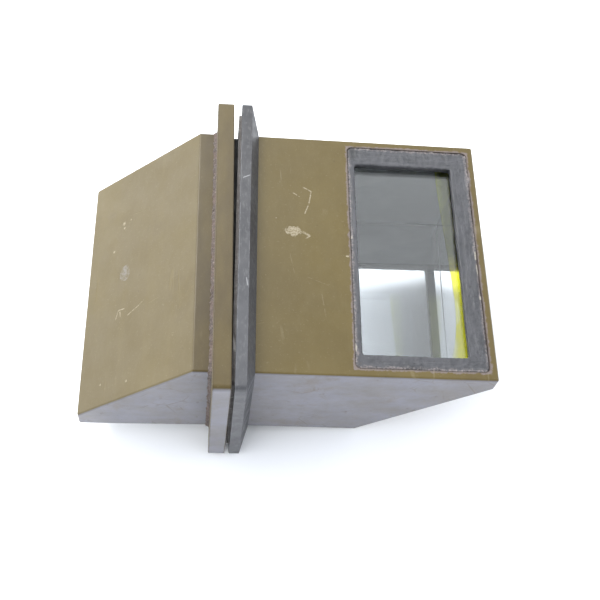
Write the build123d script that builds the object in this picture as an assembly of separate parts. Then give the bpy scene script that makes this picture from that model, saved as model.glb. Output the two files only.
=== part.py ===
from build123d import *
import math
import os

# Rhomboid prism periscope (episcope) lying on its side, all sizes in millimetres.
# Two glass prism units meet at a joint: the eyepiece unit (-X, window facing down)
# carries the mounting flange, and the head unit (+X, window facing up) plugs onto it.
# Each unit is drawn in unit coordinates: u runs away from its joint face along the
# optical axis, v is across, and w is positive on the side that the window faces.

# Driving dimensions of the casings
WIDTH = 160.0            # casing, across the window (v)
DEPTH = 80.0             # casing, along the line of sight (w)
WALL = 4.0               # cast casing wall
EDGE_RADIUS = 1.5        # outer casing edges
HALF_V = WIDTH / 2
HALF_W = DEPTH / 2
CAVITY_V = HALF_V - WALL
CAVITY_W = HALF_W - WALL

# Flanges: the rim stands further out above the axis than below it
FLANGE_HALF_V = 94.9
FLANGE_TOP = 52.3
FLANGE_BOTTOM = 50.5
RIM_CORNER = 3.0
RIM_EDGE = 0.3
EYE_FLANGE_THICK = 10.0
REBATE_DEPTH = 1.0       # the eyepiece casing's foot sits in the flange's rebate
EYE_CASING_START = EYE_FLANGE_THICK - REBATE_DEPTH
HEAD_RIM_THICK = 6.4
HEAD_TAPER_END = 11.0    # where the moulded taper meets the head casing
GASKET_THICK = 1.6
GASKET_INSET = 4.7

# Lengths along the axis, from each unit's joint face
EYE_RIDGE = 20.5
EYE_TIP = 87.5
HEAD_RIDGE = 77.2
HEAD_TIP = 145.5
HEAD_CASING_START = 5.0

# Joint: how far the head stands off, and how crooked it sits
JOINT_GAP = 3.6
HEAD_SKEW = 0.9          # degrees about the vertical
HEAD_TILT = 0.45         # degrees, tip up
SPIGOT_REACH = 7.0
SPIGOT_HALF_V = 79.0
SPIGOT_HALF_W = 39.0
SPIGOT_CLEARANCE = 0.8
EYE_GLASS_REACH = 7.6
HEAD_GLASS_START = 5.6

# Glass and its bedding
GLASS_HALF_V = 73.0
GLASS_HALF_W = 33.0
FIT_GAP = 0.1            # air left round the glass so that it reflects inside
GLASS_INSET = 6.5        # silvered face, measured in from the slanted wall's outside
GLASS_LENGTH_PAST_RIDGE = 59.5
PLATE_THICK = 2.0
PLATE_BASE = 33.5
PAD_THICK = 1.2
BACKING_THICK = 1.2
EYE_THROAT_LENGTH = 5.5
THROAT_GAP = 0.5
OVERCUT = 1.0            # how far cutting blocks stand out of what they cut
HEAD_THROAT_LENGTH = 8.0
CUSHION_LAP = 6.0
CUSHION_SETBACK = 2.0    # the strips stop this far short of the slanted walls
TIP_PAD_HALF_V = 60.0
TIP_PAD_THICK = 3.0
TIP_PAD_W = (28.8, 32.9)
PAD_MARGIN = 3.0         # pads and backing plates stop this far inside the glass
BACKING_MARGIN = 1.0
PAD_TOP = 24.0

# Window openings in the casings, and the putty frames in them
HEAD_OPENING = (65.8, 140.8)
HEAD_SIGHT = (70.0, 130.0)
EYE_OPENING = (13.2, 82.1)
EYE_SIGHT = (14.4, 71.3)
OPENING_HALF_V = 74.8
OPENING_CORNER = 3.0
HEAD_SIGHT_V = (-66.2, 62.2)
EYE_SIGHT_V = (-67.5, 71.0)
SIGHT_CORNER = 1.0
SEAL_SINK = 0.4
SEAL_GAP = 0.1
SEAM_WIDTH = 3.0
SEAM_HEIGHT = 1.7
REBATE_MARGIN = 1.8

# Yellowed cement film between the head's prism and its window plate
FILM_FREE_U = (120.0, 126.0, 125.8, 123.6, 121.6)     # its free edge, front to back
FILM_END = 134.0
FILM_LAP = 2.0
FILM_THICK = 0.3

SIN_45 = math.sqrt(0.5)
EYE_JOINT_X = EYE_FLANGE_THICK
HEAD_JOINT_X = EYE_JOINT_X + JOINT_GAP
LOW_X = EYE_JOINT_X - EYE_TIP
SKEW = math.radians(HEAD_SKEW)
TILT = math.radians(HEAD_TILT)
TIP_FACE_W = HEAD_TIP - HEAD_RIDGE - HALF_W   # lower edge of the tip's end face
HIGH_X = (HEAD_JOINT_X + (HEAD_TIP * math.cos(SKEW) + HALF_V * math.sin(SKEW)) * math.cos(TILT)
          - TIP_FACE_W * math.sin(TILT))
CENTRE_X = (LOW_X + HIGH_X) / 2
AXIS_HEIGHT = FLANGE_BOTTOM


def block(u, v, w):
    """Box between (low, high) pairs in u, v and w."""
    size = [high - low for low, high in (u, v, w)]
    centre = [(high + low) / 2 for low, high in (u, v, w)]
    return Pos(*centre) * Box(*size)


def sym(half):
    return (-half, half)


def across(points, v):
    """Side profile in (u, w), extruded between two v values."""
    low, high = v
    outline = Plane.XZ.offset(-low) * Polygon(*points, align=None)
    return extrude(outline, amount=-(high - low))


def slant_u(ridge, w, inset):
    """u of the 45 degree face at height w, moved in square to itself by inset."""
    return ridge + (w + HALF_W) - inset / SIN_45


def shell_profile(ridge, tip, start, inset):
    """Rhomboid half profile, moved in by inset on every side but the joint end."""
    w = HALF_W - inset
    end = tip - inset
    return [(start, -w), (slant_u(ridge, -w, inset), -w),
            (end, end - ridge - HALF_W + inset / SIN_45), (end, w), (start, w)]


def casing(ridge, tip, start, opening):
    outer = across(shell_profile(ridge, tip, start, 0), sym(HALF_V))
    rounded = [edge for edge in outer.edges() if edge.center().X > start + 0.01]
    outer = fillet(rounded, EDGE_RADIUS)
    inner = across(shell_profile(ridge, tip, start - OVERCUT, WALL), sym(CAVITY_V))
    window_w = (CAVITY_W - OVERCUT, HALF_W + OVERCUT)
    window = rounded_block(opening, sym(OPENING_HALF_V), window_w, OPENING_CORNER)
    return outer - inner - window


def rounded_block(u, v, w, radius):
    """Upright block with rounded corners in plan."""
    plan = RectangleRounded(u[1] - u[0], v[1] - v[0], radius)
    placed = Pos((u[0] + u[1]) / 2, (v[0] + v[1]) / 2, w[0]) * plan
    return extrude(placed, amount=w[1] - w[0])


def section(u, v_half, w, radius=0.0):
    """Rectangle across the axis at distance u, with w as a (low, high) pair."""
    width = 2 * v_half
    height = w[1] - w[0]
    face = RectangleRounded(width, height, radius) if radius else Rectangle(width, height)
    plane = Plane(origin=(u, 0, (w[0] + w[1]) / 2), x_dir=(0, 1, 0), z_dir=(1, 0, 0))
    return plane * face


def rim_plate(thick, w):
    plate = extrude(section(0, FLANGE_HALF_V, w, RIM_CORNER), amount=thick)
    ends = plate.faces().filter_by(Axis.X)
    return chamfer(ends.edges(), RIM_EDGE)


def mounting_flange(w):
    opening = block((-OVERCUT, EYE_FLANGE_THICK + OVERCUT), sym(CAVITY_V), sym(CAVITY_W))
    rebate_u = (EYE_CASING_START, EYE_FLANGE_THICK + OVERCUT)
    rebate = block(rebate_u, sym(HALF_V + REBATE_MARGIN), sym(HALF_W + REBATE_MARGIN))
    return rim_plate(EYE_FLANGE_THICK, w) - opening - rebate


def socket(u):
    half_v = SPIGOT_HALF_V + SPIGOT_CLEARANCE
    half_w = SPIGOT_HALF_W + SPIGOT_CLEARANCE
    return block(u, sym(half_v), sym(half_w))


def head_flange(w):
    """Rubber collar moulded round the head casing's foot, with the spigot's socket."""
    inset = RIM_EDGE
    foot = section(HEAD_RIM_THICK, FLANGE_HALF_V - inset, (w[0] + inset, w[1] - inset), RIM_CORNER)
    top = section(HEAD_TAPER_END, HALF_V + inset, sym(HALF_W + inset), RIM_EDGE)
    taper = loft([foot, top])
    seat = block((HEAD_CASING_START, HEAD_TAPER_END + OVERCUT), sym(HALF_V), sym(HALF_W))
    return rim_plate(HEAD_RIM_THICK, w) + taper - seat - socket((-OVERCUT, HEAD_CASING_START))


def joint_gasket(w):
    plan = section(-GASKET_THICK, FLANGE_HALF_V - GASKET_INSET,
                   (w[0] + GASKET_INSET, w[1] - GASKET_INSET), RIM_CORNER)
    return extrude(plan, amount=GASKET_THICK) - socket((-GASKET_THICK - OVERCUT, OVERCUT))


def spigot_sleeve():
    """Black rubber sleeve round the eyepiece glass where it crosses the joint."""
    body = extrude(section(-SPIGOT_REACH, SPIGOT_HALF_V, sym(SPIGOT_HALF_W), RIM_CORNER),
                   amount=SPIGOT_REACH)
    bore_u = (-SPIGOT_REACH - OVERCUT, OVERCUT)
    bore = block(bore_u, sym(GLASS_HALF_V + FIT_GAP), sym(GLASS_HALF_W + FIT_GAP))
    return body - bore


def seam_bead():
    """Sealant fillet where the eyepiece casing meets the mounting flange."""
    start = EYE_CASING_START
    foot = section(start, HALF_V + SEAM_HEIGHT, sym(HALF_W + SEAM_HEIGHT), EDGE_RADIUS)
    edge = section(start + SEAM_WIDTH, HALF_V + SEAL_SINK, sym(HALF_W + SEAL_SINK), EDGE_RADIUS)
    inside_u = (start - OVERCUT, start + SEAM_WIDTH + OVERCUT)
    inside = block(inside_u, sym(HALF_V), sym(HALF_W))
    return loft([foot, edge]) - inside


def glass_profile(ridge, start):
    tip = ridge + GLASS_LENGTH_PAST_RIDGE
    w_at_tip = tip - ridge - HALF_W + GLASS_INSET / SIN_45
    return [(start, -GLASS_HALF_W), (slant_u(ridge, -GLASS_HALF_W, GLASS_INSET), -GLASS_HALF_W),
            (tip, w_at_tip), (tip, GLASS_HALF_W), (start, GLASS_HALF_W)]


def prism(ridge, start):
    return across(glass_profile(ridge, start), sym(GLASS_HALF_V))


def slanted_plate(ridge, inset, thick, w, v_half):
    """Flat plate parallel to the 45 degree face, its outside face at inset."""
    step = thick * SIN_45
    low, high = w
    outside = [(slant_u(ridge, low, inset), low), (slant_u(ridge, high, inset), high)]
    inside = [(outside[1][0] - step, high + step), (outside[0][0] - step, low + step)]
    return across(outside + inside, sym(v_half))


def mirror_pad(ridge):
    w = (-GLASS_HALF_W + BACKING_MARGIN, PAD_TOP)
    return slanted_plate(ridge, WALL, PAD_THICK, w, GLASS_HALF_V - PAD_MARGIN)


def mirror_backing(ridge):
    w = (-GLASS_HALF_W, PAD_TOP + BACKING_MARGIN)
    return slanted_plate(ridge, WALL + PAD_THICK, BACKING_THICK, w, GLASS_HALF_V - BACKING_MARGIN)


def tip_pad(ridge):
    """Strip behind the cut-off sharp edge of the glass."""
    start = ridge + GLASS_LENGTH_PAST_RIDGE + FIT_GAP
    return block((start, start + TIP_PAD_THICK), sym(TIP_PAD_HALF_V), TIP_PAD_W)


def throat_packing(u):
    """Packing frame that centres the glass at the joint end."""
    outer = block(u, sym(CAVITY_V), sym(CAVITY_W))
    inner_u = (u[0] - OVERCUT, u[1] + OVERCUT)
    inner = block(inner_u, sym(GLASS_HALF_V + FIT_GAP), sym(GLASS_HALF_W + FIT_GAP))
    return outer - inner


def cushion(side, ridge, start, opening):
    """Channel strip along one side of the glass, side is -1 for front, 1 for back."""
    near = GLASS_HALF_V + FIT_GAP
    clear = GLASS_HALF_W + FIT_GAP
    web_top = GLASS_HALF_W - CUSHION_SETBACK
    lap_end = ridge - 2 * CUSHION_SETBACK
    web_profile = [(start, -GLASS_HALF_W), (ridge, -GLASS_HALF_W),
                   (ridge + GLASS_LENGTH_PAST_RIDGE - CUSHION_SETBACK, web_top), (start, web_top)]
    web = across(web_profile, (near, CAVITY_V))
    lap_v = (GLASS_HALF_V - CUSHION_LAP, CAVITY_V)
    window_lap = block((start, opening[0]), lap_v, (clear, CAVITY_W))
    back_lap = block((start, lap_end), lap_v, (-CAVITY_W, -clear))
    strip = block((start, lap_end), (near, CAVITY_V), sym(clear + OVERCUT))
    solid = web + window_lap + back_lap + strip
    return solid if side > 0 else mirror(solid, about=Plane.XZ)


def window_plate(ridge, opening):
    """Cover plate under the putty, from the opening's joint-side edge to the glass's tip."""
    u = (opening[0] + SEAL_GAP, ridge + GLASS_LENGTH_PAST_RIDGE)
    return block(u, sym(GLASS_HALF_V), (PLATE_BASE, PLATE_BASE + PLATE_THICK))


def window_seal(opening, sight, sight_v):
    """Putty frame between the casing's opening and the clear sight of the window."""
    w = (PLATE_BASE + PLATE_THICK, HALF_W - SEAL_SINK)
    u = (opening[0] + SEAL_GAP, opening[1] - SEAL_GAP)
    outer = rounded_block(u, sym(OPENING_HALF_V - SEAL_GAP), w, OPENING_CORNER)
    cut = (w[0] - OVERCUT, w[1] + OVERCUT)
    return outer - rounded_block(sight, sight_v, cut, SIGHT_CORNER)


def cement_film():
    """Stained film with a wavy free edge, between the prism and the window plate."""
    low = GLASS_HALF_W + FIT_GAP
    front, back = HEAD_SIGHT_V[0] - FILM_LAP, HEAD_SIGHT_V[1] + FILM_LAP
    edge = Spline((FILM_FREE_U[0], front), (FILM_FREE_U[1], -40), (FILM_FREE_U[2], -15),
                  (FILM_FREE_U[3], 20), (FILM_FREE_U[4], back))
    end = Polyline(edge @ 1, (FILM_END, back), (FILM_END, front), edge @ 0)
    plan = make_face(edge + end)
    return extrude(Pos(0, 0, low) * plan, amount=FILM_THICK)


def eyepiece_place(solid):
    """Unit coordinates turned half round: window down, length towards -X."""
    turned = Rot(0, 180, 0) * solid
    return Pos(EYE_JOINT_X - CENTRE_X, 0, AXIS_HEIGHT) * turned


def head_place(solid):
    turned = Rot(0, -HEAD_TILT, -HEAD_SKEW) * solid
    return Pos(HEAD_JOINT_X - CENTRE_X, 0, AXIS_HEIGHT) * turned


def eyepiece_unit():
    flange_w = (-FLANGE_TOP, FLANGE_BOTTOM)
    throat = (THROAT_GAP, THROAT_GAP + EYE_THROAT_LENGTH)
    cushion_start = throat[1] + THROAT_GAP
    return {
        "eyepiece_casing": casing(EYE_RIDGE, EYE_TIP, EYE_CASING_START, EYE_OPENING),
        "mounting_flange": mounting_flange(flange_w),
        "eyepiece_seam_bead": seam_bead(),
        "spigot_sleeve": spigot_sleeve(),
        "eyepiece_prism": prism(EYE_RIDGE, -EYE_GLASS_REACH),
        "eyepiece_mirror_backing": mirror_backing(EYE_RIDGE),
        "eyepiece_mirror_pad": mirror_pad(EYE_RIDGE),
        "eyepiece_tip_pad": tip_pad(EYE_RIDGE),
        "eyepiece_throat_packing": throat_packing(throat),
        "eyepiece_cushion_front": cushion(-1, EYE_RIDGE, cushion_start, EYE_OPENING),
        "eyepiece_cushion_back": cushion(1, EYE_RIDGE, cushion_start, EYE_OPENING),
        "eyepiece_window_plate": window_plate(EYE_RIDGE, EYE_OPENING),
        "eyepiece_window_seal": window_seal(EYE_OPENING, EYE_SIGHT, EYE_SIGHT_V),
    }


def head_unit():
    flange_w = (-FLANGE_BOTTOM, FLANGE_TOP)
    throat = (HEAD_GLASS_START, HEAD_GLASS_START + HEAD_THROAT_LENGTH)
    cushion_start = throat[1] + THROAT_GAP
    return {
        "head_casing": casing(HEAD_RIDGE, HEAD_TIP, HEAD_CASING_START, HEAD_OPENING),
        "head_flange": head_flange(flange_w),
        "joint_gasket": joint_gasket(flange_w),
        "head_prism": prism(HEAD_RIDGE, HEAD_GLASS_START),
        "head_mirror_backing": mirror_backing(HEAD_RIDGE),
        "head_mirror_pad": mirror_pad(HEAD_RIDGE),
        "head_tip_pad": tip_pad(HEAD_RIDGE),
        "head_throat_packing": throat_packing(throat),
        "head_cushion_front": cushion(-1, HEAD_RIDGE, cushion_start, HEAD_OPENING),
        "head_cushion_back": cushion(1, HEAD_RIDGE, cushion_start, HEAD_OPENING),
        "head_window_plate": window_plate(HEAD_RIDGE, HEAD_OPENING),
        "head_window_seal": window_seal(HEAD_OPENING, HEAD_SIGHT, HEAD_SIGHT_V),
        "head_cement_film": cement_film(),
    }


def main():
    os.makedirs("parts", exist_ok=True)
    placed = {name: eyepiece_place(solid) for name, solid in eyepiece_unit().items()}
    placed.update({name: head_place(solid) for name, solid in head_unit().items()})
    for name, solid in placed.items():
        export_step(solid, f"parts/{name}.step")
        print(name, round(solid.volume / 1000, 2), "cm3")


main()
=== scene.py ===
import bpy
import math
from mathutils import Matrix, Vector, noise


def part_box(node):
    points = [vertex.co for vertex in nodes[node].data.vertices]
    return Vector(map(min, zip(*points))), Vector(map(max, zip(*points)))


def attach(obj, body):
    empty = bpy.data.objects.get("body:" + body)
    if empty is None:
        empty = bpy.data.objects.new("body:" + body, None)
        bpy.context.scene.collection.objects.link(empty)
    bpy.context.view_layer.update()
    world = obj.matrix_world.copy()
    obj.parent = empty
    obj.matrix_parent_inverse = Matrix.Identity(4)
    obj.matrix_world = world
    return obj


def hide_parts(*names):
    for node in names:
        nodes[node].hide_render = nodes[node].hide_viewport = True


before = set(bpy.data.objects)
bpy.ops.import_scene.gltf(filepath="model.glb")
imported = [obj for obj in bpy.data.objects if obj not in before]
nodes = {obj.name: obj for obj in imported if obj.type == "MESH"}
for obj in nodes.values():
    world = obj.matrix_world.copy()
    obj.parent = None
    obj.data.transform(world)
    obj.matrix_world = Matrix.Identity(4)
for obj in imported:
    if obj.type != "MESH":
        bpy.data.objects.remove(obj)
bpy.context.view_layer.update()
MM = 0.001
HAIR_LENGTH = 14.0
scene = bpy.context.scene


# ---------------------------------------------------------------- node trees
class Surface:
    """One procedural material under construction. Colours are linear RGB, lengths metres."""

    def __init__(self, name):
        self.material = bpy.data.materials.new(name)
        self.material.use_nodes = True
        self.tree = self.material.node_tree
        self.bsdf = self.tree.nodes["Principled BSDF"]
        self.place = self.add("ShaderNodeTexCoord").outputs["Object"]

    def add(self, kind, **settings):
        node = self.tree.nodes.new(kind)
        for key, value in settings.items():
            setattr(node, key, value)
        return node

    def feed(self, socket, value):
        if isinstance(value, bpy.types.NodeSocket):
            self.tree.links.new(value, socket)
        elif isinstance(value, (tuple, list)) and len(value) == 3 and socket.type == "RGBA":
            socket.default_value = (*value, 1.0)
        else:
            socket.default_value = value

    def math(self, operation, a, b=0.0):
        node = self.add("ShaderNodeMath", operation=operation)
        self.feed(node.inputs[0], a)
        self.feed(node.inputs[1], b)
        return node.outputs[0]

    def vector(self, operation, a, b=(0.0, 0.0, 0.0)):
        node = self.add("ShaderNodeVectorMath", operation=operation)
        self.feed(node.inputs[0], a)
        self.feed(node.inputs[1], b)
        return node.outputs["Value" if operation in ("DOT_PRODUCT", "LENGTH", "DISTANCE") else "Vector"]

    def stretch(self, scale, turn=(0.0, 0.0, 0.0)):
        node = self.add("ShaderNodeMapping")
        self.feed(node.inputs["Vector"], self.place)
        node.inputs["Scale"].default_value = scale
        node.inputs["Rotation"].default_value = turn
        return node.outputs[0]

    def noise(self, size, detail, rough, at=None, warp=0.0):
        """Cloudy noise whose blobs are about size metres across."""
        node = self.add("ShaderNodeTexNoise")
        self.feed(node.inputs["Vector"], at or self.place)
        node.inputs["Scale"].default_value = 1.0 / size
        node.inputs["Detail"].default_value = detail
        node.inputs["Roughness"].default_value = rough
        node.inputs["Distortion"].default_value = warp
        return node.outputs["Fac"]

    def cells(self, size, feature, at):
        node = self.add("ShaderNodeTexVoronoi", feature=feature)
        self.feed(node.inputs["Vector"], at)
        node.inputs["Scale"].default_value = 1.0 / size
        return node.outputs["Distance"]

    def ramp(self, value, low, high, start=0.0, end=1.0):
        """Smooth step from start at low to end at high, held flat outside."""
        node = self.add("ShaderNodeMapRange", interpolation_type="SMOOTHSTEP")
        self.feed(node.inputs["Value"], value)
        node.inputs["From Min"].default_value = low
        node.inputs["From Max"].default_value = high
        node.inputs["To Min"].default_value = start
        node.inputs["To Max"].default_value = end
        return node.outputs["Result"]

    def blend(self, amount, a, b):
        node = self.add("ShaderNodeMix", data_type="RGBA")
        self.feed(node.inputs[0], amount)
        self.feed(node.inputs[6], a)
        self.feed(node.inputs[7], b)
        return node.outputs[2]

    def edges(self, radius):
        """1 on edges and corners within about radius, 0 on the flats."""
        bevel = self.add("ShaderNodeBevel", samples=6)
        bevel.inputs["Radius"].default_value = radius
        flat = self.add("ShaderNodeNewGeometry").outputs["True Normal"]
        along = self.vector("DOT_PRODUCT", bevel.outputs[0], flat)
        return self.ramp(along, 0.995, 0.80)

    def facing(self, direction):
        """How squarely the surface faces a direction, -1 to 1."""
        normal = self.add("ShaderNodeNewGeometry").outputs["Normal"]
        return self.vector("DOT_PRODUCT", normal, direction)

    def bump(self, height, distance, strength, base=None):
        node = self.add("ShaderNodeBump")
        self.feed(node.inputs["Height"], height)
        node.inputs["Distance"].default_value = distance
        node.inputs["Strength"].default_value = strength
        if base is not None:
            self.feed(node.inputs["Normal"], base)
        return node.outputs["Normal"]

    def blob(self, centre, size, ragged, grain):
        """Irregular patch round a point: size is its half extents in metres."""
        offset = self.vector("SUBTRACT", self.place, tuple(centre))
        scaled = self.vector("DIVIDE", offset, size)
        distance = self.vector("LENGTH", scaled)
        wobble = self.math("MULTIPLY", self.noise(grain, 4.0, 0.65), ragged * 2)
        return self.ramp(self.math("ADD", distance, wobble), 1.0 + ragged, 0.85 + ragged)

    def stroke(self, start, end, width, broken):
        """Thin scratch along a straight line, broken up by noise."""
        start, end = Vector(start), Vector(end)
        along = (end - start).normalized()
        offset = self.vector("SUBTRACT", self.place, tuple(start))
        reach = self.vector("DOT_PRODUCT", offset, tuple(along))
        inside = self.math("MULTIPLY", self.ramp(reach, -width, width),
                           self.ramp(reach, (end - start).length + width, (end - start).length - width))
        side = self.vector("LENGTH", self.vector("CROSS_PRODUCT", offset, tuple(along)))
        line = self.math("MULTIPLY", self.ramp(side, width, width * 0.3), inside)
        gaps = self.ramp(self.noise(0.0035, 3.0, 0.6), broken - 0.08, broken + 0.04)
        return self.math("MULTIPLY", line, gaps)

    def total(self, masks):
        value = masks[0]
        for mask in masks[1:]:
            value = self.math("MAXIMUM", value, mask)
        return value

    def scratches(self, spacing, turn, width, rarity=0.62):
        """Fine hairline scratches, mostly along one direction."""
        long = self.stretch((1.0, 1.0 / HAIR_LENGTH, 1.0), turn)
        lines = self.ramp(self.cells(spacing, "DISTANCE_TO_EDGE", long), width, width * 0.3)
        patches = self.ramp(self.noise(spacing * 2.2, 2.0, 0.5), rarity, rarity + 0.08)
        return self.math("MULTIPLY", lines, patches)

    def finish(self, colour, roughness, normal=None, **constants):
        self.feed(self.bsdf.inputs["Base Color"], colour)
        self.feed(self.bsdf.inputs["Roughness"], roughness)
        if normal is not None:
            self.feed(self.bsdf.inputs["Normal"], normal)
        for name, value in constants.items():
            self.feed(self.bsdf.inputs[name.replace("_", " ")], value)
        return self.material


def dress(names, *materials):
    for name in names:
        mesh = nodes[name].data
        mesh.materials.clear()
        for material in materials:
            mesh.materials.append(material)


# ---------------------------------------------------------------- places on the part
# Millimetres: u along the axis from a unit's joint face, v across, w up on the head and down on the eyepiece
CENTRE_X = 41.306
AXIS_Z = 50.5
FLANGE_THICK = 10.0
HEAD_START = 13.6
HALF_DEPTH = 40.0
EYE_RIDGE, EYE_TIP = 20.5, 87.5
HEAD_RIDGE, HEAD_TIP = 77.2, 145.5
WINDOW_MIDDLE = 103.3
WINDOW_HALF = (37.5, 74.8)
CHAMBER_HALF = (76.4, 36.4)
SLANT_MARGIN, TIP_MARGIN = 3.0, 2.0
SKEW = math.radians(0.9)
TILT = math.radians(0.45)
BEIGE = (0.25, 0.215, 0.15)

HEAD_PLACE = (Matrix.Translation(Vector((HEAD_START - CENTRE_X, 0.0, AXIS_Z)) * MM)
              @ Matrix.Rotation(-SKEW, 4, "Z") @ Matrix.Rotation(-TILT, 4, "Y") @ Matrix.Scale(MM, 4))
EYEPIECE_PLACE = (Matrix.Translation(Vector((FLANGE_THICK - CENTRE_X, 0.0, AXIS_Z)) * MM)
                  @ Matrix.Rotation(math.pi, 4, "Y") @ Matrix.Scale(MM, 4))


def on_head(u, v, w=HALF_DEPTH):
    """Metres in the shared frame for a point u along, v across and w above the head unit's axis."""
    return HEAD_PLACE @ Vector((u, v, w))


def on_slant(u, v):
    """Metres in the shared frame for a point on the eyepiece casing's 45 degree roof."""
    return Vector((FLANGE_THICK - CENTRE_X - u, v, AXIS_Z + HALF_DEPTH + EYE_RIDGE - u)) * MM


# ---------------------------------------------------------------- materials
def head_marks(s):
    """Paint chips and scratches on the head casing: the strong ones and the faint ones."""
    chip = s.blob(on_head(32.0, 11.5), (5.0 * MM, 3.4 * MM, 3.0 * MM), 0.9, 1.8 * MM)
    tail = s.stroke(on_head(35.0, 12.5), on_head(42.0, 8.6), 0.9 * MM, 0.40)
    hook = s.stroke(on_head(42.0, 8.6), on_head(39.5, 6.8), 0.6 * MM, 0.35)
    curve = [s.stroke(on_head(*a), on_head(*b), 0.5 * MM, 0.47)
             for a, b in (((38.0, 43.0), (43.0, 40.0)), ((43.0, 40.0), (41.5, 31.0)),
                          ((41.5, 31.0), (39.0, 24.0)), ((32.0, 38.5), (36.0, 36.0)))]
    faint = [s.stroke(on_head(*a), on_head(*b), 0.35 * MM, 0.50)
             for a, b in (((30.0, -4.0), (32.5, -17.0)), ((40.0, -19.0), (52.0, -24.0)),
                          ((60.0, 20.0), (66.0, 19.0)), ((5.0, -52.0), (16.0, -49.0)),
                          ((48.0, -30.0), (50.0, -44.0)))]
    dots = [s.blob(on_head(*at), (size * MM, size * 0.7 * MM, 1.0 * MM), 0.9, 0.9 * MM)
            for at, size in (((63.5, -4.1), 1.0), ((22.0, 20.0), 0.4))]
    return s.total([chip, tail, hook] + curve + dots), s.total(faint)


def eyepiece_marks(s):
    """The same on the eyepiece casing's roof."""
    spots = [s.blob(on_slant(*at), (size * MM,) * 3, 0.7, 1.0 * MM)
             for at, size in (((66.5, 41.0), 1.3), ((66.0, 37.5), 0.9), ((71.9, 23.2), 0.9),
                              ((62.0, 41.5), 0.6), ((74.0, -66.0), 0.7), ((58.0, -70.0), 0.8))]
    arcs = [s.stroke(on_slant(*a), on_slant(*b), 0.45 * MM, 0.46)
            for a, b in (((67.5, -27.0), (66.0, -21.0)), ((66.0, -21.0), (62.0, -21.5)),
                         ((65.0, -22.0), (64.5, -26.0)), ((60.0, -27.0), (53.0, -23.5)),
                         ((53.0, -23.5), (50.0, -21.0)))]
    faint = [s.stroke(on_slant(*a), on_slant(*b), 0.3 * MM, 0.48)
             for a, b in (((48.0, -25.0), (34.0, -23.0)), ((62.0, 45.0), (52.0, 43.0)),
                          ((70.0, -34.0), (66.0, -44.0)))]
    return s.total(spots + arcs), s.total(faint)


def plain_marks(s):
    """Scattered small nicks, for a piece with no marks of its own."""
    nick = s.ramp(s.noise(3.5 * MM, 4.0, 0.7), 0.73, 0.76)
    return nick, s.ramp(s.noise(5.0 * MM, 3.0, 0.6), 0.78, 0.84)


def foot_shade(s):
    """Painted shade, patchy, on the level strip between the roof's ridge and the mounting flange, where the
    flange shadows it.
    """
    along = s.vector("DOT_PRODUCT", s.place, (1.0, 0.0, 0.0))
    edge = (FLANGE_THICK - CENTRE_X - EYE_RIDGE) * MM
    upward = s.ramp(s.facing((0.0, 0.0, 1.0)), 0.4, 0.9)
    level = s.math("MULTIPLY", s.ramp(along, edge - 1.5 * MM, edge + 1.5 * MM), upward)
    patchy = s.noise(14.0 * MM, 5.0, 0.6, s.stretch((1.0, 0.4, 1.0)))
    return s.math("MULTIPLY", level, s.ramp(patchy, 0.3, 0.7, 0.30, 0.65))


def rim_grime(s):
    """Streaky dirt on the mounting flange's upward rim."""
    return s.math("MULTIPLY", s.ramp(s.facing((0.0, 0.0, 1.0)), 0.4, 0.9),
                  s.ramp(s.noise(12.0 * MM, 5.0, 0.6, s.stretch((1.0, 0.3, 1.0))), 0.3, 0.7, 0.20, 0.60))


def beyond_window(s):
    """Metres outside the head window's opening, negative inside it, with a wavering edge."""
    offset = s.vector("SUBTRACT", s.place, tuple(on_head(WINDOW_MIDDLE, 0.0)))
    sides = []
    for axis, half in enumerate(WINDOW_HALF):
        way = HEAD_PLACE.col[axis].to_3d().normalized()
        reach = s.math("ABSOLUTE", s.vector("DOT_PRODUCT", offset, tuple(way)))
        sides.append(s.math("SUBTRACT", reach, half * MM))
    waver = s.math("MULTIPLY", s.math("SUBTRACT", s.noise(4.0 * MM, 6.0, 0.8), 0.5), 6.0 * MM)
    return s.math("ADD", s.math("MAXIMUM", sides[0], sides[1]), waver)


def putty_smear(s):
    """Ragged lip of putty left on the paint round the head window."""
    return s.math("MULTIPLY", s.ramp(beyond_window(s), 1.4 * MM, 0.8 * MM), 0.85)


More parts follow.
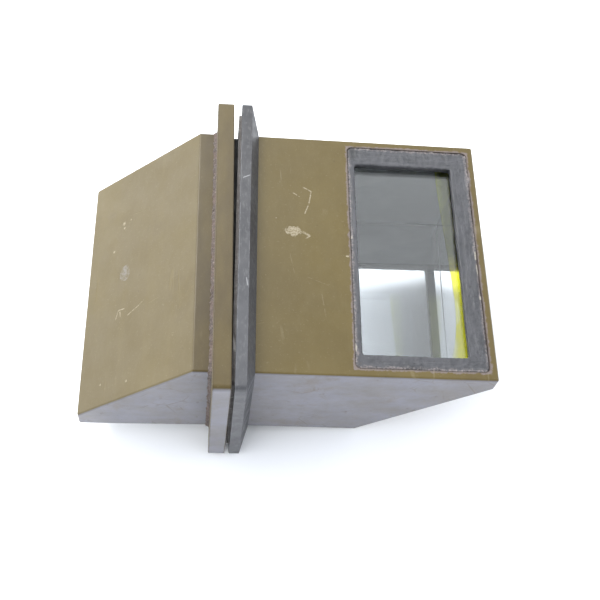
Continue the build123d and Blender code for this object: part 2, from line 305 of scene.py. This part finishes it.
def olive_enamel(name, marks, smudge=None, shade_and_dirt=None, smear=None):
    """Satin olive enamel: painted reflection of the floor as a bluish haze on the faces toward -Y, stains, a
    passed-in darkening (painted shade on the eyepiece's foot strip, dirt on the flange's rim), edges darkened
    by wear and by painted dark reflection, bare edges, hairlines and the given marks.
    """
    s = Surface(name)
    base, light, dark = (0.076, 0.055, 0.017), (0.090, 0.066, 0.020), (0.058, 0.039, 0.013)
    cloud = s.noise(90.0 * MM, 4.0, 0.55, warp=0.3)
    colour = s.blend(s.ramp(cloud, 0.38, 0.66), base, light)
    brushed = s.noise(7.0 * MM, 3.0, 0.5, s.stretch((1.0, 0.08, 1.0)))
    colour = s.blend(s.ramp(brushed, 0.50, 0.72, 0.0, 0.30), colour, light)
    colour = s.blend(s.ramp(s.noise(34.0 * MM, 5.0, 0.62), 0.56, 0.74, 0.0, 0.40), colour, dark)
    front = s.ramp(s.facing((0.0, -1.0, 0.0)), 0.55, 0.95)
    # Painted reflection: a bluish-grey haze on the faces toward -Y stands in for the pale floor mirrored in
    # the satin paint.
    floor_reflection_haze = s.math("MULTIPLY", front,
                    s.ramp(s.noise(16.0 * MM, 5.0, 0.65, s.stretch((0.4, 1.0, 1.0))), 0.25, 0.70, 0.55, 0.90))
    colour = s.blend(floor_reflection_haze, colour, (0.161, 0.164, 0.197))
    stain = s.math("MULTIPLY", front, s.ramp(s.noise(9.0 * MM, 5.0, 0.7), 0.60, 0.70, 0.0, 0.6))
    weep = s.math("MULTIPLY", front, s.ramp(s.noise(26.0 * MM, 5.0, 0.7), 0.56, 0.70, 0.0, 0.55))
    colour = s.blend(weep, colour, (0.115, 0.095, 0.078))
    colour = s.blend(stain, colour, (0.060, 0.042, 0.026))
    mottle = s.noise(4.0 * MM, 5.0, 0.7, s.stretch((1.0, 0.5, 1.0)))
    colour = s.blend(s.ramp(mottle, 0.42, 0.72, 0.0, 0.16), colour, (0.107, 0.086, 0.039))
    speck = s.noise(1.3 * MM, 3.0, 0.65)
    colour = s.blend(s.ramp(speck, 0.60, 0.72, 0.0, 0.35), colour, (0.143, 0.118, 0.068))
    pit = s.ramp(s.noise(2.1 * MM, 2.0, 0.5), 0.26, 0.20, 0.0, 0.5)
    colour = s.blend(pit, colour, (0.025, 0.017, 0.008))
    # Darkening from the passed-in mask: painted shade on the eyepiece's foot strip, real dirt on the flange's
    # rim.
    if shade_and_dirt is not None:
        colour = s.blend(shade_and_dirt(s), colour, (0.036, 0.024, 0.010))
    if smear is not None:
        colour = s.blend(smear(s), colour, (0.135, 0.110, 0.105))
    edge = s.edges(1.7 * MM)
    # Edges darkened partly by paint wear and partly as a painted reflection of the room's dark side in the
    # rounded edges.
    wear_and_dark_reflection = s.math("MULTIPLY", edge, s.ramp(s.noise(6.0 * MM, 5.0, 0.7), 0.36, 0.52, 0.60, 1.0))
    colour = s.blend(wear_and_dark_reflection, colour, (0.016, 0.010, 0.005))
    bare = s.math("MULTIPLY", s.edges(0.8 * MM), s.ramp(s.noise(3.0 * MM, 5.0, 0.75), 0.60, 0.66))
    colour = s.blend(bare, colour, (0.193, 0.168, 0.122))
    hair = s.total([s.scratches(14.0 * MM, (0.0, 0.0, 0.5), 0.030),
                    s.scratches(20.0 * MM, (0.2, 0.0, -0.9), 0.022, rarity=0.64)])
    strong, faint = marks(s)
    colour = s.blend(s.math("MULTIPLY", s.total([hair, faint]), 0.26), colour, (0.172, 0.143, 0.089))
    if smudge is not None:
        veil = s.math("MULTIPLY", s.blob(*smudge),
                      s.ramp(s.noise(2.4 * MM, 4.0, 0.7), 0.38, 0.62, 0.05, 0.45))
        colour = s.blend(veil, colour, (0.172, 0.168, 0.172))
    patchy = s.ramp(s.noise(1.0 * MM, 4.0, 0.7), 0.34, 0.58, 0.15, 0.9)
    colour = s.blend(s.math("MULTIPLY", strong, patchy), colour, BEIGE)
    rough = s.ramp(s.noise(20.0 * MM, 5.0, 0.65), 0.3, 0.7, 0.34, 0.46)
    rough = s.math("ADD", rough, s.math("MULTIPLY", s.total([hair, faint, strong]), 0.25))
    normal = s.bump(s.noise(1.1 * MM, 3.0, 0.5), 0.00005, 0.5)
    normal = s.bump(s.noise(12.0 * MM, 2.0, 0.5), 0.0010, 0.10, normal)
    normal = s.bump(s.math("MULTIPLY", s.total([hair, faint, bare]), -1.0), 0.00010, 0.5, normal)
    normal = s.bump(strong, 0.00012, 0.6, normal)
    return s.finish(colour, rough, normal, IOR=1.5, Specular_IOR_Level=0.29)


def moulded_rubber(name, colour, scuff, wear=1.0):
    """Rubber with a faint mould grain, greyed and scuffed where it is touched."""
    s = Surface(name)
    cloud = s.ramp(s.noise(30.0 * MM, 5.0, 0.6), 0.35, 0.7)
    tone = s.blend(cloud, colour, tuple(c * 1.4 for c in colour))
    edge = s.math("MULTIPLY", s.edges(1.2 * MM),
                  s.ramp(s.noise(7.0 * MM, 5.0, 0.7), 0.42, 0.6, 0.1, 0.8 * wear))
    tone = s.blend(edge, tone, scuff)
    dust = s.ramp(s.noise(2.2 * MM, 4.0, 0.7), 0.56, 0.72, 0.0, 0.40 * wear)
    tone = s.blend(dust, tone, scuff)
    rub = s.ramp(s.noise(18.0 * MM, 5.0, 0.7), 0.54, 0.68, 0.0, 0.45 * wear)
    tone = s.blend(rub, tone, scuff)
    hair = s.total([s.scratches(12.0 * MM, (0.0, 0.6, 0.3), 0.035, rarity=0.56),
                    s.scratches(9.0 * MM, (0.9, 0.0, 0.1), 0.030, rarity=0.60)])
    tone = s.blend(s.math("MULTIPLY", hair, 0.6 * wear), tone, tuple(min(1.0, c * 1.5) for c in scuff))
    rough = s.ramp(s.noise(8.0 * MM, 4.0, 0.6), 0.3, 0.7, 0.45, 0.67)
    normal = s.bump(s.noise(0.8 * MM, 3.0, 0.55), 0.00008, 0.6)
    normal = s.bump(s.noise(10.0 * MM, 3.0, 0.5), 0.0007, 0.12, normal)
    return s.finish(tone, rough, normal)


def flange_rubber():
    """Dark collar: painted reflection greying the faces toward -Y, paler towards -Y overall, scuffs of light
    dust on its rim and a few white nicks.
    """
    s = Surface("flange_rubber")
    cloud = s.ramp(s.noise(26.0 * MM, 5.0, 0.6), 0.35, 0.7)
    tone = s.blend(cloud, (0.015, 0.015, 0.018), (0.029, 0.029, 0.032))
    side = s.facing((0.0, -1.0, 0.0))
    # Painted reflection: the faces toward -Y are greyed as if mirroring the pale floor.
    rubber_floor_reflection = s.math("MULTIPLY", s.ramp(side, 0.6, 0.95), 0.55)
    tone = s.blend(rubber_floor_reflection, tone, (0.084, 0.082, 0.084))
    front = s.ramp(s.vector("DOT_PRODUCT", s.place, (0.0, 1.0, 0.0)), 60.0 * MM, -90.0 * MM, 0.0, 0.45)
    tone = s.blend(front, tone, (0.057, 0.059, 0.067))
    dust = s.ramp(s.noise(1.6 * MM, 4.0, 0.7, s.stretch((1.0, 0.35, 1.0))), 0.50, 0.70, 0.0, 0.38)
    tone = s.blend(dust, tone, (0.101, 0.102, 0.104))
    edge = s.math("MULTIPLY", s.edges(0.9 * MM), s.ramp(s.noise(5.0 * MM, 5.0, 0.7), 0.40, 0.62, 0.0, 0.75))
    tone = s.blend(edge, tone, (0.128, 0.128, 0.134))
    nick = [s.stroke(on_head(*a), on_head(*b), 0.45 * MM, 0.42)
            for a, b in (((1.6, 39.0, 52.3), (5.6, 41.0, 52.3)), ((4.8, -28.0, 52.3), (5.6, -33.0, 52.3)))]
    line = [s.stroke(on_head(*a), on_head(*b), 0.30 * MM, 0.48)
            for a, b in (((6.1, -2.0, 52.3), (6.2, -34.0, 52.2)), ((0.3, 70.0, 52.3), (0.3, -60.0, 52.3)))]
    tone = s.blend(s.math("MULTIPLY", s.total(nick), 0.70), tone, (0.228, 0.228, 0.235))
    tone = s.blend(s.math("MULTIPLY", s.total(line), 0.35), tone, (0.202, 0.202, 0.208))
    rough = s.ramp(s.noise(6.0 * MM, 4.0, 0.6), 0.3, 0.7, 0.42, 0.62)
    normal = s.bump(s.noise(0.7 * MM, 3.0, 0.6), 0.00008, 0.7)
    normal = s.bump(s.noise(9.0 * MM, 3.0, 0.5), 0.0008, 0.15, normal)
    return s.finish(tone, rough, normal)


def putty():
    """Hand-laid putty: tool ridges, pits, pale crumbs and a darker crumbling corner."""
    s = Surface("window_putty")
    cloud = s.ramp(s.noise(9.0 * MM, 5.0, 0.65), 0.35, 0.68)
    tone = s.blend(cloud, (0.021, 0.022, 0.026), (0.044, 0.044, 0.050))
    across = s.add("ShaderNodeSeparateXYZ")
    s.feed(across.inputs[0], s.place)
    ends = s.ramp(s.math("ABSOLUTE", s.math("ADD", across.outputs["Y"], 3.2 * MM)), 63.5 * MM, 64.5 * MM)
    upright = s.noise(1.8 * MM, 5.0, 0.7, s.stretch((1.0, 0.10, 1.0)))
    level = s.noise(1.8 * MM, 5.0, 0.7, s.stretch((0.10, 1.0, 1.0)))
    streak = s.math("ADD", s.math("MULTIPLY", level, ends),
                    s.math("MULTIPLY", upright, s.math("SUBTRACT", 1.0, ends)))
    along = s.ramp(streak, 0.45, 0.68, 0.0, 0.55)
    tone = s.blend(along, tone, (0.064, 0.064, 0.071))
    crumbs = s.ramp(s.noise(1.4 * MM, 5.0, 0.75), 0.60, 0.70, 0.0, 0.55)
    tone = s.blend(crumbs, tone, (0.114, 0.107, 0.107))
    rim = s.math("MULTIPLY", s.ramp(beyond_window(s), -2.2 * MM, -0.6 * MM),
                 s.ramp(s.noise(1.2 * MM, 4.0, 0.75), 0.44, 0.60, 0.15, 0.95))
    tone = s.blend(rim, tone, (0.165, 0.140, 0.135))
    rust = s.ramp(s.noise(6.0 * MM, 5.0, 0.75), 0.62, 0.72, 0.0, 0.35)
    tone = s.blend(rust, tone, (0.069, 0.045, 0.028))
    pits = s.ramp(s.noise(1.1 * MM, 3.0, 0.6), 0.40, 0.33, 0.0, 0.75)
    tone = s.blend(pits, tone, (0.009, 0.009, 0.009))
    corner = s.blob(on_head(68.0, 71.0), (5.0 * MM, 5.0 * MM, 6.0 * MM), 0.8, 2.5 * MM)
    tone = s.blend(s.math("MULTIPLY", corner, 0.65), tone, (0.014, 0.015, 0.015))
    chips = [s.blob(on_head(*at), (0.7 * MM, size * MM, 1.0 * MM), 0.9, 1.1 * MM)
             for at, size in (((140.0, 0.0), 3.5), ((140.2, -9.0), 4.0), ((140.0, -28.0), 1.5),
                              ((66.3, -62.0), 2.5), ((66.3, 9.0), 1.2))]
    tone = s.blend(s.math("MULTIPLY", s.total(chips), 0.8), tone, (0.275, 0.255, 0.213))
    rough = s.ramp(cloud, 0.0, 1.0, 0.45, 0.66)
    normal = s.bump(s.noise(0.7 * MM, 4.0, 0.7), 0.0002, 0.8)
    normal = s.bump(along, 0.0003, 0.6, normal)
    return s.finish(tone, rough, normal)


def sealant():
    s = Surface("seam_sealant")
    cloud = s.ramp(s.noise(5.0 * MM, 5.0, 0.65), 0.35, 0.68)
    tone = s.blend(cloud, (0.048, 0.032, 0.024), (0.100, 0.072, 0.060))
    grit = s.ramp(s.noise(1.0 * MM, 4.0, 0.7), 0.55, 0.68, 0.0, 0.7)
    tone = s.blend(grit, tone, (0.240, 0.188, 0.164))
    pits = s.ramp(s.noise(1.5 * MM, 4.0, 0.6), 0.42, 0.34, 0.0, 0.8)
    tone = s.blend(pits, tone, (0.014, 0.010, 0.006))
    normal = s.bump(s.noise(0.6 * MM, 5.0, 0.75), 0.0003, 0.9)
    return s.finish(tone, s.ramp(cloud, 0.0, 1.0, 0.55, 0.8), normal)


def polished_glass(name, colour, index):
    """Optical glass with the faintest dust and wipe marks in its polish."""
    s = Surface(name)
    dust = s.ramp(s.noise(0.9 * MM, 2.0, 0.5), 0.72, 0.80, 0.0, 0.08)
    smeared = s.noise(20.0 * MM, 3.0, 0.5, s.stretch((1.0, 0.25, 1.0), (0.0, 0.0, 0.4)))
    wipe = s.ramp(smeared, 0.45, 0.75, 0.0, 0.015)
    rough = s.math("ADD", dust, wipe)
    return s.finish(colour, rough, None, IOR=index, Transmission_Weight=1.0)


def silvering():
    s = Surface("silvered_face")
    tone = s.blend(s.ramp(s.noise(10.0 * MM, 4.0, 0.6), 0.4, 0.7), (0.94, 0.955, 0.965), (0.965, 0.975, 0.98))
    rough = s.ramp(s.noise(4.0 * MM, 3.0, 0.6), 0.4, 0.7, 0.0, 0.02)
    return s.finish(tone, rough, None, Metallic=1.0)


def ground_glass():
    s = Surface("ground_face")
    tone = s.blend(s.ramp(s.noise(20.0 * MM, 4.0, 0.6), 0.35, 0.7), (0.68, 0.70, 0.71), (0.75, 0.77, 0.78))
    rough = s.ramp(s.noise(3.0 * MM, 4.0, 0.6), 0.3, 0.7, 0.60, 0.80)
    normal = s.bump(s.noise(0.3 * MM, 2.0, 0.5), 0.00002, 0.5)
    return s.finish(tone, rough, normal, Specular_IOR_Level=0.1)


def stained_film():
    """Optical cement gone yellow: clear at its free edge, olive at the back and bright at the front."""
    s = Surface("stained_cement")
    edge, level = 120.5, 33.0
    offset = s.vector("SUBTRACT", s.place, tuple(on_head(edge, 0.0, level)))
    along, across = (s.vector("DOT_PRODUCT", offset, tuple(HEAD_PLACE.col[axis].to_3d().normalized()))
                     for axis in (0, 1))
    waver = s.math("MULTIPLY", s.math("SUBTRACT", s.noise(9.0 * MM, 4.0, 0.6), 0.5), 5.0 * MM)
    depth = s.math("ADD", along, waver)
    back = s.ramp(across, -4.0 * MM, 6.0 * MM)
    yellow = s.blend(s.ramp(depth, 1.5 * MM, 6.0 * MM), (0.95, 0.95, 0.78), (0.84, 0.78, 0.010))
    olive = s.blend(s.ramp(depth, 0.5 * MM, 5.5 * MM), (0.80, 0.84, 0.22), (0.34, 0.37, 0.030))
    tone = s.blend(back, yellow, olive)
    clear = s.blob(on_head(126.0, -34.0, level), (3.0 * MM, 10.0 * MM, 3.0 * MM), 0.35, 6.0 * MM)
    tone = s.blend(s.math("MULTIPLY", clear, 0.6), tone, (0.95, 0.94, 0.55))
    rough = s.ramp(s.noise(4.0 * MM, 3.0, 0.6), 0.3, 0.7, 0.02, 0.10)
    return s.finish(tone, rough, None, IOR=1.5, Transmission_Weight=1.0)


def matt_black():
    s = Surface("black_lining")
    cloud = s.ramp(s.noise(15.0 * MM, 4.0, 0.6), 0.35, 0.7)
    tone = s.blend(cloud, (0.012, 0.012, 0.013), (0.022, 0.022, 0.023))
    rough = s.ramp(s.noise(2.0 * MM, 4.0, 0.6), 0.3, 0.7, 0.75, 0.95)
    return s.finish(tone, rough, s.bump(s.noise(0.8 * MM, 3.0, 0.6), 0.00005, 0.6), Specular_IOR_Level=0.2)


def pale_lining():
    s = Surface("pale_lining")
    tone = s.blend(s.ramp(s.noise(15.0 * MM, 4.0, 0.6), 0.35, 0.7), (0.74, 0.76, 0.77), (0.80, 0.82, 0.83))
    rough = s.ramp(s.noise(2.0 * MM, 4.0, 0.6), 0.3, 0.7, 0.75, 0.95)
    return s.finish(tone, rough, s.bump(s.noise(0.8 * MM, 3.0, 0.6), 0.00005, 0.6), Specular_IOR_Level=0.2)


def sheet_metal():
    s = Surface("backing_plate")
    tone = s.blend(s.ramp(s.noise(12.0 * MM, 5.0, 0.6), 0.35, 0.7), (0.42, 0.42, 0.42), (0.55, 0.55, 0.54))
    brushed = s.noise(0.8 * MM, 4.0, 0.6, s.stretch((1.0, 0.05, 1.0)))
    return s.finish(tone, s.ramp(brushed, 0.3, 0.7, 0.35, 0.55), s.bump(brushed, 0.00003, 0.5), Metallic=1.0)


# ---------------------------------------------------------------- hand-laid pieces
LIP_HEIGHT = 0.62


def remeshed(node, name, voxel):
    """Dense copy of a CAD solid for hand shaping."""
    source = bpy.data.objects.new(name + "_source", nodes[node].data.copy())
    scene.collection.objects.link(source)
    step = source.modifiers.new("remesh", "REMESH")
    step.mode = "VOXEL"
    step.voxel_size = voxel
    step.adaptivity = 0.0
    shaped = bpy.data.meshes.new_from_object(source.evaluated_get(bpy.context.evaluated_depsgraph_get()))
    bpy.data.objects.remove(source)
    piece = bpy.data.objects.new(name, shaped)
    scene.collection.objects.link(piece)
    shaped.materials.clear()
    for face in shaped.polygons:
        face.use_smooth = True
    return piece


def grain(point, size, seed):
    """Fractal noise from about -1 to 1 at a point in metres."""
    return noise.fractal(point / size + Vector((seed, seed * 1.7, -seed)), 1.0, 2.0, 4) * 1.6


def place_putty(piece, node, up):
    """Tools the putty: wavy ridges on top, and a ragged lip smeared over the paint outside it."""
    low, high = (Vector(corner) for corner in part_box(node))
    middle = (low + high) / 2
    half = (high - low) / 2
    face = high.z if up > 0 else low.z
    for vertex in piece.data.vertices:
        p = vertex.co.copy()
        depth = (face - p.z) * up
        on_top = max(0.0, 1.0 - depth / (1.6 * MM))
        if on_top <= 0.0:
            continue
        ridge = grain(Vector((p.x, p.y * 0.25, p.z)), 2.6 * MM, 3.1)
        fine = grain(p, 1.1 * MM, 8.3)
        p.z += up * on_top * (0.22 * ridge + 0.10 * fine) * MM
        reach = Vector(((p.x - middle.x) / half.x, (p.y - middle.y) / half.y))
        rim = min(half.x - abs(p.x - middle.x), half.y - abs(p.y - middle.y))
        outward = max(0.0, 1.0 - rim / (1.6 * MM))
        if outward > 0.0:
            spread = max(-0.35, grain(Vector((p.x, p.y, 0.0)), 3.2 * MM, 5.7) + 0.35)
            lip = outward * on_top * spread
            if abs(reach.x) * half.x + (half.y - half.x) > abs(reach.y) * half.y:
                p.x += math.copysign(lip * MM, reach.x)
            else:
                p.y += math.copysign(lip * MM, reach.y)
            p.z += up * outward * on_top * LIP_HEIGHT * MM * (0.6 + 0.4 * max(0.0, spread))
        elif rim > 3.0 * MM:
            p.x += on_top * 0.35 * fine * MM
            p.y += on_top * 0.35 * grain(p, 1.6 * MM, 2.2) * MM
        vertex.co = p
    piece.data.update()


def place_bead(piece):
    """Lumpy sealant: blobs and tears along the joint."""
    low, high = (Vector(corner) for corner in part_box("eyepiece_seam_bead"))
    middle = (low + high) / 2
    for vertex in piece.data.vertices:
        p = vertex.co.copy()
        out = Vector((0.0, p.y - middle.y, (p.z - middle.z) * 1.9))
        out = Vector((0.0, math.copysign(1.0, out.y), 0.0)) if abs(out.y) > abs(out.z) \
            else Vector((0.0, 0.0, math.copysign(1.0, out.z)))
        lump = grain(p, 2.4 * MM, 1.3) * 0.35 + grain(p, 0.9 * MM, 6.1) * 0.22
        free = min(1.0, max(0.0, (high.x - p.x) / (2.5 * MM)))
        p += out * (lump * free * 0.9 * MM)
        p.x -= max(0.0, 1.0 - (p.x - low.x) / (1.5 * MM)) * (grain(p, 3.0 * MM, 4.4) * 0.45) * MM
        vertex.co = p
    piece.data.update()


# ---------------------------------------------------------------- placed pieces
def split_faces(name, polished, silver, ground):
    """Gives a prism its three kinds of face: ends polished, sides ground, 45 degree face silvered."""
    dress([name], polished, silver, ground)
    for face in nodes[name].data.polygons:
        n = face.normal
        if abs(n.y) > 0.9:
            face.material_index = 2
        elif 0.3 < abs(n.z) < 0.9:
            face.material_index = 1
        else:
            face.material_index = 0


def line_inside(name, lining, place, ridge, tip):
    """Second material on the faces round the glass's chamber, clear of the outer walls and window."""
    slant_reach = ridge + HALF_DEPTH - SLANT_MARGIN
    mesh = nodes[name].data
    mesh.materials.append(lining)
    back = place.inverted()
    for face in mesh.polygons:
        at = back @ face.center
        within = abs(at.y) < CHAMBER_HALF[0] and abs(at.z) < CHAMBER_HALF[1]
        if within and at.x - at.z < slant_reach and at.x < tip - TIP_MARGIN:
            face.material_index = len(mesh.materials) - 1


def rest_plane():
    """Tilt and height of the table: the part lies on the flange's lower edge and the casing's ridge."""
    def lowest(node, tilt):
        c, s = math.cos(tilt), math.sin(tilt)
        return min(v.co.z * c - v.co.x * s for v in nodes[node].data.vertices)
    low, high = 0.0, math.radians(20.0)
    for _ in range(40):
        middle = (low + high) / 2
        if lowest("head_flange", middle) < lowest("head_casing", middle):
            low = middle
        else:
            high = middle
    return middle, lowest("head_flange", middle)


def table():
    tilt, drop = rest_plane()
    bpy.ops.mesh.primitive_plane_add(size=6.0)
    floor = bpy.context.object
    floor.name = "table_top"
    up = Vector((-math.sin(tilt), 0.0, math.cos(tilt)))
    floor.matrix_world = Matrix.Translation(up * drop) @ Matrix.Rotation(-tilt, 4, "Y")
    s = Surface("table_white")
    tone = s.blend(s.ramp(s.noise(0.3, 3.0, 0.5), 0.3, 0.7), (0.89, 0.90, 0.93), (0.91, 0.92, 0.95))
    floor.data.materials.append(s.finish(tone, 0.6))


def lamp(name, at, aim, size, power):
    """Softbox hidden from the camera and from rays that pass through glass."""
    data = bpy.data.lights.new(name, "AREA")
    data.shape = "RECTANGLE"
    data.size, data.size_y = size
    data.energy = power
    light = bpy.data.objects.new(name, data)
    scene.collection.objects.link(light)
    light.location = at
    light.rotation_euler = (Vector(aim) - Vector(at)).to_track_quat("-Z", "Y").to_euler()
    light.visible_camera = False
    light.visible_transmission = False


def studio():
    """White room, brightest at the horizon and below, with a dark place where the photographer stands."""
    world = bpy.data.worlds.new("soft_studio")
    scene.world = world
    world.use_nodes = True
    tree = world.node_tree
    room = tree.nodes["Background"]
    way = tree.nodes.new("ShaderNodeTexCoord").outputs["Generated"]
    glow = tree.nodes.new("ShaderNodeMath")
    glow.operation = "MULTIPLY"
    for socket, (aim, start, end, low, high) in enumerate((
            ((-0.10, 0.10, 1.0), 0.0, 0.65, 4.0, 1.65), ((0.05, -0.86, 0.50), 0.80, 0.94, 1.0, 0.20))):
        dot = tree.nodes.new("ShaderNodeVectorMath")
        dot.operation = "DOT_PRODUCT"
        dot.inputs[1].default_value = Vector(aim).normalized()
        tree.links.new(way, dot.inputs[0])
        spread = tree.nodes.new("ShaderNodeMapRange")
        spread.interpolation_type = "SMOOTHSTEP"
        spread.inputs["From Min"].default_value = start
        spread.inputs["From Max"].default_value = end
        spread.inputs["To Min"].default_value = low
        spread.inputs["To Max"].default_value = high
        tree.links.new(dot.outputs["Value"], spread.inputs["Value"])
        tree.links.new(spread.outputs["Result"], glow.inputs[socket])
    room.inputs["Color"].default_value = (0.93, 0.965, 1.0, 1.0)
    tree.links.new(glow.outputs[0], room.inputs["Strength"])
    lamp("key_softbox", (-0.55, 0.75, 1.15), (0.0, 0.0, 0.05), (0.9, 0.6), 26.0)
    lamp("left_panel", (-1.30, 0.60, 0.35), (-0.05, 0.0, 0.06), (0.9, 0.7), 3.0)


def camera():
    target = Vector((12.6, -10.1, 45.0)) * MM
    distance = 570.0 * MM
    azimuth, elevation, roll = (math.radians(a) for a in (-12.8, 61.1, 12.95))
    back = Vector((math.sin(azimuth) * math.cos(elevation), -math.cos(azimuth) * math.cos(elevation),
                   math.sin(elevation)))
    data = bpy.data.cameras.new("photo_camera")
    data.lens = 55.3
    data.sensor_width = 36.0
    data.clip_start = 0.01
    eye = bpy.data.objects.new("photo_camera", data)
    scene.collection.objects.link(eye)
    eye.rotation_mode = "QUATERNION"
    eye.location = target + back * distance
    level = (-back).to_track_quat("-Z", "Y")
    eye.rotation_quaternion = level @ Matrix.Rotation(roll, 3, "Z").to_quaternion()
    scene.camera = eye


# ---------------------------------------------------------------- assembly
def hand_laid():
    frame_putty, bead_mass = putty(), sealant()
    for unit, up in (("head", 1), ("eyepiece", -1)):
        node = f"{unit}_window_seal"
        piece = remeshed(node, f"{unit}_window_putty", 0.7 * MM)
        place_putty(piece, node, up)
        piece.data.materials.append(frame_putty)
        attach(piece, f"{unit}_unit")
        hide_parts(node)
    bead = remeshed("eyepiece_seam_bead", "seam_sealant_bead", 0.45 * MM)
    place_bead(bead)
    bead.data.materials.append(bead_mass)
    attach(bead, "eyepiece_unit")
    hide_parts("eyepiece_seam_bead")


def main():
    scene.view_settings.view_transform = "Standard"
    scene.cycles.max_bounces = 24
    scene.cycles.transmission_bounces = 24
    scene.cycles.glossy_bounces = 8
    camera()
    dress(["head_casing"], olive_enamel("olive_enamel_head", head_marks, smear=putty_smear))
    veil = (on_slant(63.4, 3.3), (4.5 * MM, 5.5 * MM, 4.5 * MM), 0.7, 4.0 * MM)
    dress(["eyepiece_casing"], olive_enamel("olive_enamel_eyepiece", eyepiece_marks, veil, foot_shade))
    dress(["mounting_flange"], olive_enamel("olive_enamel_flange", plain_marks, shade_and_dirt=rim_grime))
    dress(["head_flange"], flange_rubber())
    dress(["joint_gasket"], moulded_rubber("gasket_rubber", (0.050, 0.042, 0.038), (0.22, 0.21, 0.20)))
    sleeve = moulded_rubber("black_rubber", (0.008, 0.008, 0.008), (0.04, 0.04, 0.04), wear=0.5)
    dress(["spigot_sleeve"], sleeve)
    cushion = moulded_rubber("cushion_rubber", (0.020, 0.020, 0.020), (0.07, 0.07, 0.07), wear=0.5)
    for unit in ("eyepiece", "head"):
        dress([f"{unit}_{part}" for part in ("mirror_pad", "tip_pad", "throat_packing", "cushion_front",
                                             "cushion_back")], cushion)
    dress(["eyepiece_mirror_backing", "head_mirror_backing"], sheet_metal())
    window = polished_glass("window_glass", (0.985, 0.995, 0.995), 1.5)
    dress(["eyepiece_window_plate", "head_window_plate"], window)
    dress(["head_cement_film"], stained_film())
    block = polished_glass("prism_glass", (0.98, 0.992, 1.0), 1.62)
    silver, ground = silvering(), ground_glass()
    split_faces("head_prism", block, silver, ground)
    split_faces("eyepiece_prism", block, silver, ground)
    black = matt_black()
    line_inside("head_casing", black, HEAD_PLACE, HEAD_RIDGE, HEAD_TIP)
    line_inside("eyepiece_casing", black, EYEPIECE_PLACE, EYE_RIDGE, EYE_TIP)
    line_inside("mounting_flange", black, EYEPIECE_PLACE, EYE_RIDGE, EYE_TIP)
    line_inside("spigot_sleeve", pale_lining(), EYEPIECE_PLACE, EYE_RIDGE, EYE_TIP)
    hand_laid()
    table()
    studio()


main()
